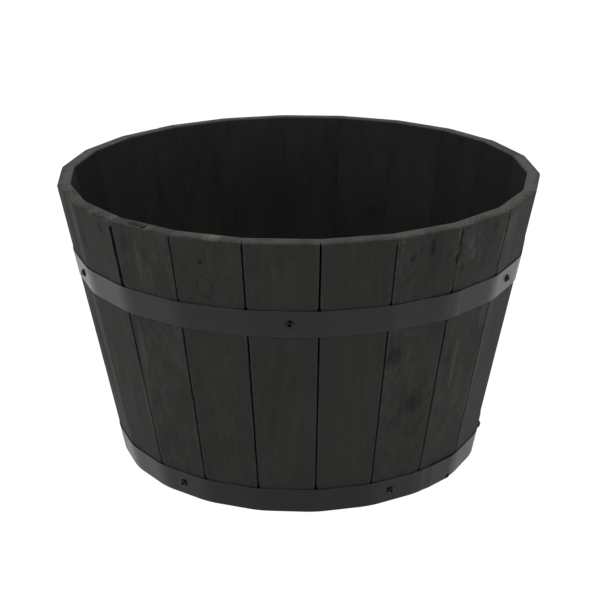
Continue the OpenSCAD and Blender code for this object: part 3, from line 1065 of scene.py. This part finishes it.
# %% [markdown]
# ## The dome-headed screws
#
# A screw is a turned part, so its outline is spun about its own axis: tip, thread core, the flat under the
# head, its short straight edge and the dome. The cross in the head is two crossing blocks, taken away with a
# boolean modifier that is applied at once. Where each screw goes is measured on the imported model.

# %% Turn a screw
SHANK_R = 2.25 * MM
SHANK_L = 12 * MM
HEAD_R = 5 * MM
HEAD_H = 3.2 * MM
HEAD_EDGE = 0.8 * MM
THREAD_PITCH = 1.4 * MM
THREAD_DEEP = 0.35 * MM
ROUND_STEPS = 32
CROSS = (4.8 * MM, 1.1 * MM, 3.6 * MM)


def dome():
    """The outline of the head from its rim to its crown, as (radius, height)."""
    rise = HEAD_H - HEAD_EDGE
    sphere = (HEAD_R ** 2 + rise ** 2) / (2 * rise)
    widest = math.asin(HEAD_R / sphere)
    turns = [widest * (1 - n / 8) for n in range(9)]
    return [(sphere * math.sin(a), HEAD_H - sphere * (1 - math.cos(a))) for a in turns]


def threads(top, length, radius):
    """The outline of a threaded shank from its tip up to a height, as (radius, height)."""
    turns = int((length - 2 * MM) / THREAD_PITCH)
    start = top - turns * THREAD_PITCH
    points = [(0, top - length), (radius - THREAD_DEEP, start)]
    for n in range(turns):
        z = start + n * THREAD_PITCH
        points += [(radius, z + THREAD_PITCH * 0.45), (radius - THREAD_DEEP, z + THREAD_PITCH * 0.9)]
    return points


def turned(outline):
    """Spins an outline about Z into a closed solid."""
    bm = bmesh.new()
    verts = [bm.verts.new((r, 0, z)) for r, z in outline]
    for pair in zip(verts, verts[1:]):
        bm.edges.new(pair)
    bmesh.ops.spin(bm, geom=whole(bm), cent=(0, 0, 0), axis=(0, 0, 1), angle=math.tau,
                   steps=ROUND_STEPS, use_merge=True)
    bmesh.ops.remove_doubles(bm, verts=bm.verts[:], dist=MM / 1000)
    bmesh.ops.recalc_face_normals(bm, faces=bm.faces[:])
    return bm


def cut_away(bm, tool):
    """One closed shape with another taken out of it, by a boolean modifier that is applied at once."""
    shown = [show("on_the_bench", mesh_of("on_the_bench", shape)) for shape in (bm, tool)]
    modifier = shown[0].modifiers.new("cut", "BOOLEAN")
    modifier.object, modifier.operation, modifier.solver = shown[1], "DIFFERENCE", "EXACT"
    modifier.use_self = True
    bpy.context.view_layer.update()
    evaluated = shown[0].evaluated_get(bpy.context.evaluated_depsgraph_get())
    done = bmesh.new()
    done.from_mesh(evaluated.to_mesh())
    for leftover in shown:
        bpy.data.objects.remove(leftover)
    bmesh.ops.remove_doubles(done, verts=done.verts[:], dist=MM / 1000)
    return done


def cross(z):
    """Two crossing blocks, as deep as the driver's recess, centred on a height."""
    bm = bmesh.new()
    for a in (0, math.pi / 2):
        block = bmesh.ops.create_cube(bm, size=1)["verts"]
        bmesh.ops.scale(bm, verts=block, vec=CROSS)
        bmesh.ops.rotate(bm, verts=block, cent=(0, 0, 0), matrix=Matrix.Rotation(a, 3, "Z"))
        bmesh.ops.translate(bm, verts=block, vec=(0, 0, z))
    return bm


def mark_middle(bm):
    """Tells each point of an upright screw how far it lies from the screw's axis, which places the painted
    shade in its recess and round its head.
    """
    layer = bm.verts.layers.float.new("from_middle")
    for v in bm.verts:
        v[layer] = math.hypot(v.co.x, v.co.y)
    return bm


def dome_screw():
    """One hoop screw, upright, with the flat under its head at height 0."""
    outline = threads(-0.5 * MM, SHANK_L - 0.5 * MM, SHANK_R)
    outline += [(SHANK_R, -0.4 * MM), (SHANK_R, 0), (HEAD_R - 0.15 * MM, 0), (HEAD_R, 0.15 * MM)]
    return mark_middle(cut_away(turned(outline + dome()), cross(HEAD_H)))


# %% [markdown]
# ## Driving the screws in
#
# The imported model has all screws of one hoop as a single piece, so its points are sorted by the stave they
# lie on, and the middle of each lot is the screw's place. A screw is then turned square to its leaning
# stave, by a chain of matrices that reads from right to left: turn the driver, lift the head on to the strip,
# lay the screw down, push it out to the face, and carry it round the tub.

# %% Drive the screws in
def screw_places(node):
    """For each screw of a hoop: its stave, counted from 0, and how far it strays to the stave's right."""
    found = {}
    for p in corners(node):
        stave = round(round_from_front(p) / STEP)
        across = p.x * math.cos(stave * STEP) + p.y * math.sin(stave * STEP)
        found.setdefault(stave % STAVES, []).append(across)
    return {stave: midway(places) for stave, places in found.items()}


def joined(shapes):
    """Several bmeshes in one."""
    bm = bmesh.new()
    for shape in shapes:
        mesh = mesh_of("joined", shape)
        bm.from_mesh(mesh)
        bpy.data.meshes.remove(mesh)
    return bm


def hoop_screws(node, hoop_node):
    """The screws of one hoop, each square to its stave, with its own turn of the driver."""
    low, high = (corner.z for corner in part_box(hoop_node))
    z = (low + high) / 2
    rng = random.Random(node)
    screws = []
    for stave, across in sorted(screw_places(node).items()):
        screw = dome_screw()
        seat = (Matrix.Rotation(stave * STEP, 4, "Z") @ Matrix.Translation((across, -outer(z), z))
                @ Matrix.Rotation(math.pi / 2 + LEAN, 4, "X")
                @ Matrix.Translation((0, 0, HOOP_T)) @ Matrix.Rotation(rng.uniform(0, math.pi), 4, "Z"))
        bmesh.ops.transform(screw, matrix=seat, verts=screw.verts[:])
        screws.append(screw)
    return joined(screws)


SCREW_BLACK = (0.005, 0.005, 0.005, 1)
SCREW_WORN = (0.02, 0.02, 0.019, 1)


def screw_finish():
    """Glossy dark paint, with painted shade in the recess of the head and in a ring round its edge."""
    material = bpy.data.materials.new("black_screw")
    tree = Tree(material)
    dull = tree.cloud(tree.place(), 900.0, 3.0, 0.6)
    colour = tree.blend(tree.between(dull, 0.5, 0.75) * 0.4, SCREW_BLACK, SCREW_WORN)
    paint = tree.node("ShaderNodeBsdfPrincipled", {}, {
        "Base Color": colour, "Roughness": 0.14 + dull * 0.14, "Specular IOR Level": 0.17,
        "Normal": tree.bump(dull, 0.3, 0.0001)})
    from_middle = tree.read("from_middle", "Fac")
    # Painted shade: matte black in the cross recess, and in a thin ring at the head's edge
    grime_and_shade = 1 - tree.between(from_middle, 0.0014, 0.0024) + tree.between(from_middle, 0.0043, 0.0049) * 0.55
    tree.finish(tree.mix(grime_and_shade, paint, matte_dark(tree, 0.002, dull)))
    return material


black_screw = screw_finish()
for level in ("upper", "lower"):
    screws = hoop_screws(f"{level}_hoop_screws", f"{level}_hoop")
    print(level, "hoop screws:", len(screws.faces), "faces")
    piece(f"{level}_screws_black", screws, f"{level}_hoop_screws", black_screw)

# %% [markdown]
# ## The floor
#
# The floor is five boards side by side, cut to one outline: a straight edge for each stave, so that it
# stands in the groove all round. A disc with as many sides as there are staves is that outline; sawing it
# along a board's two edges and extruding it up gives the board. The drainage holes are drilled last, with
# the same boolean cut as the screws' crosses.

# %% Shape the floor boards
BOARDS = sum(name.startswith("floor_board_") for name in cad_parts)
FLOOR_ARRIS = 1.0 * MM
FLOOR_ROUGH = 0.08 * MM


def eased(bm, offset):
    """Rounds every real edge of a shape."""
    sharp = [e for e in bm.edges if e.calc_face_angle() > SHARP]
    bmesh.ops.bevel(bm, geom=sharp, offset=offset, affect="EDGES", segments=2, profile=0.5, material=-1)


def floor_board(low, high, outline_r):
    """One board of the floor, cut to the ring of staves, without its holes."""
    bm = bmesh.new()
    bmesh.ops.create_circle(bm, cap_ends=True, radius=outline_r / math.cos(HALF_STEP), segments=STAVES,
                            matrix=Matrix.Translation((0, 0, low.z)) @ Matrix.Rotation(HALF_STEP, 4, "Z"))
    for y, hand in ((low.y, -1), (high.y, 1)):
        bmesh.ops.bisect_plane(bm, geom=whole(bm), dist=MM / 1000, plane_co=(0, y, 0),
                               plane_no=(0, hand, 0), clear_outer=True)
    up = bmesh.ops.extrude_face_region(bm, geom=bm.faces[:])["geom"]
    bmesh.ops.translate(bm, verts=points_of(up), vec=(0, 0, high.z - low.z))
    bmesh.ops.recalc_face_normals(bm, faces=bm.faces[:])
    eased(bm, FLOOR_ARRIS)
    return bm


def drill(spots, radii, depth, z):
    """Rods or cones to be taken out of a board, each with the radius it has below and above."""
    bm = bmesh.new()
    for x, y in spots:
        bmesh.ops.create_cone(bm, cap_ends=True, segments=ROUND_STEPS, radius1=radii[0], radius2=radii[1],
                              depth=depth, matrix=Matrix.Translation((x, y, z)))
    return bm


def drill_through(spots, radius, low, high):
    """Rods a little longer than a board is thick."""
    return drill(spots, (radius, radius), high - low + 2 * MM, (low + high) / 2)


def inside(spots, low, high):
    """The spots that lie within a box, seen from above."""
    return [(x, y) for x, y in spots if low.x < x < high.x and low.y < y < high.y]


def lay_grain(bm, seed, run):
    """Roughens a sawn board and gives its points the values that the wood finish reads. run is its grain."""
    rng = random.Random(seed)
    grain, edges, knot, dust, scuff, rim, inside_shade_layer, gape = finish_layers(bm)
    pith = Vector((rng.uniform(-30, 30), rng.uniform(25, 70), rng.uniform(0, 900))) * MM
    dusty = rng.uniform(0.2, 0.5)
    bm.normal_update()
    shift = [v.normal * -FLOOR_ROUGH * (1 + lively(v.co + pith * 40, 14 * MM)) for v in bm.verts]
    for v, s in zip(bm.verts, shift):
        across, along = (v.co.y, v.co.x) if run == "x" else (v.co.x, v.co.y)
        v[grain] = Vector((across, v.co.z, along)) + pith
        v[edges] = (10 * MM, 10 * MM, 0)
        v[scuff], v[rim], v[inside_shade_layer], v[gape] = 0, 0, 0.2, 0
        v[knot] = (NO_KNOT[0] * MM, 0, 0)
        v[dust] = dusty
        v.co += s


# %% [markdown]
# ## Laying the floor
#
# Water has to get out, so there is a hole in the middle, one to each side of it, and one in each of the two
# boards beside it. The screws come up through the battens, so their holes stop inside the boards. As with the
# hoops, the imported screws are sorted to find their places: here by the board whose width each point lies in.

# %% Lay the floor
DRAIN_R = 7 * MM
DRAIN_X = 60 * MM
SCREW_HOLE_R = 2.35 * MM
SCREWS_STOP = 5 * MM
CUTS_ALONG = [n * 12 * MM for n in range(-19, 20)]

boards = {b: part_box(f"floor_board_{b}") for b in range(1, BOARDS + 1)}
centres = {b: (low.y + high.y) / 2 for b, (low, high) in boards.items()}
middle = (BOARDS + 1) // 2
drains = [(0, 0), (-DRAIN_X, 0), (DRAIN_X, 0), (0, centres[middle - 1]), (0, centres[middle + 1])]
floor_r = -boards[1][0].y
floor_stain = wood_finish("floor_stain", (0.0125, 0.0118, 0.0108, 1), (0.03, 0.028, 0.025, 1), 0.5)


def floor_screw_places():
    """The middles of the floor screws, seen from above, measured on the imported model."""
    found = {}
    for p in corners("floor_screws"):
        board = next(b for b, (low, high) in boards.items() if low.y < p.y < high.y)
        found.setdefault((p.x > 0, board), []).append(p)
    return [(midway([p.x for p in points]), midway([p.y for p in points])) for points in found.values()]


floor_spots = floor_screw_places()
for b, (low, high) in boards.items():
    board = floor_board(low, high, floor_r)
    slices(board, (1, 0, 0), CUTS_ALONG)
    slices(board, (0, 1, 0), [low.y + n * 10 * MM for n in range(1, 9)])
    lay_grain(board, 100 + b, "x")
    own = inside(floor_spots, low, high)
    holes = joined([drill_through(inside(drains, low, high), DRAIN_R, low.z, high.z),
                    drill_through(own, SCREW_HOLE_R, low.z - SCREWS_STOP, high.z - SCREWS_STOP)])
    piece(f"floor_board_{b}_wood", cut_away(board, holes), f"floor_board_{b}", floor_stain)
print("floor boards:", BOARDS, "screws in them at", [(round(x, 3), round(y, 3)) for x, y in floor_spots])

# %% [markdown]
# ## The battens and their screws
#
# Two battens run across the boards from below and tie them together, each with a countersunk screw into
# every board. Nobody sees them until the tub is turned over, but they are why the floor is one floor.

# %% Fit the battens
BATTEN_ARRIS = 1.2 * MM
SUNK_R = 5 * MM
SUNK_H = 2.8 * MM
SUNK_SCREW_L = 16 * MM
THREAD_FROM = 10 * MM
SINK_ROOM = 1.15


def batten(low, high):
    """One board under the floor, without its holes."""
    bm = bmesh.new()
    bmesh.ops.create_cube(bm, size=1)
    bmesh.ops.scale(bm, verts=bm.verts[:], vec=high - low)
    bmesh.ops.translate(bm, verts=bm.verts[:], vec=(low + high) / 2)
    eased(bm, BATTEN_ARRIS)
    slices(bm, (0, 1, 0), CUTS_ALONG)
    slices(bm, (1, 0, 0), [low.x + n * 10 * MM for n in range(1, 4)])
    return bm


def sunk_screw():
    """A countersunk screw standing on its head, with the cross facing down."""
    outline = [(0, 0), (SUNK_R - 0.1 * MM, 0), (SUNK_R, 0.12 * MM), (SHANK_R, SUNK_H), (SHANK_R, 5 * MM)]
    thread = [(r, THREAD_FROM - z) for r, z in threads(-0.5 * MM, SUNK_SCREW_L, SHANK_R)][::-1]
    return mark_middle(cut_away(turned(outline + thread), cross(0)))


for side in ("left", "right"):
    node = f"floor_batten_{side}"
    low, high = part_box(node)
    shape = batten(low, high)
    lay_grain(shape, node, "y")
    own = inside(floor_spots, low, high)
    heads = drill(own, (SUNK_R * SINK_ROOM, SCREW_HOLE_R), SUNK_H * 1.1, low.z + SUNK_H * 0.54)
    holes = joined([heads, drill_through(own, SCREW_HOLE_R, low.z, high.z)])
    piece(node + "_wood", cut_away(shape, holes), node, floor_stain)

heads_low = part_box("floor_screws")[0].z
screws = []
for x, y in floor_spots:
    screw = sunk_screw()
    bmesh.ops.translate(screw, verts=screw.verts[:], vec=(x, y, heads_low))
    screws.append(screw)
print("battens: 2, with", len(screws), "screws through them")
piece("floor_screws_black", joined(screws), "floor_screws", black_screw)

# %% [markdown]
# ## The dressed tub's size
#
# Everything above only took a little off the true surfaces, so the finished tub has to lie within the packed
# model's box.

# %% Measure the dressed tub
low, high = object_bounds()
print("dressed tub:", [round(v * 1000, 2) for v in (*low, *high)], "mm")
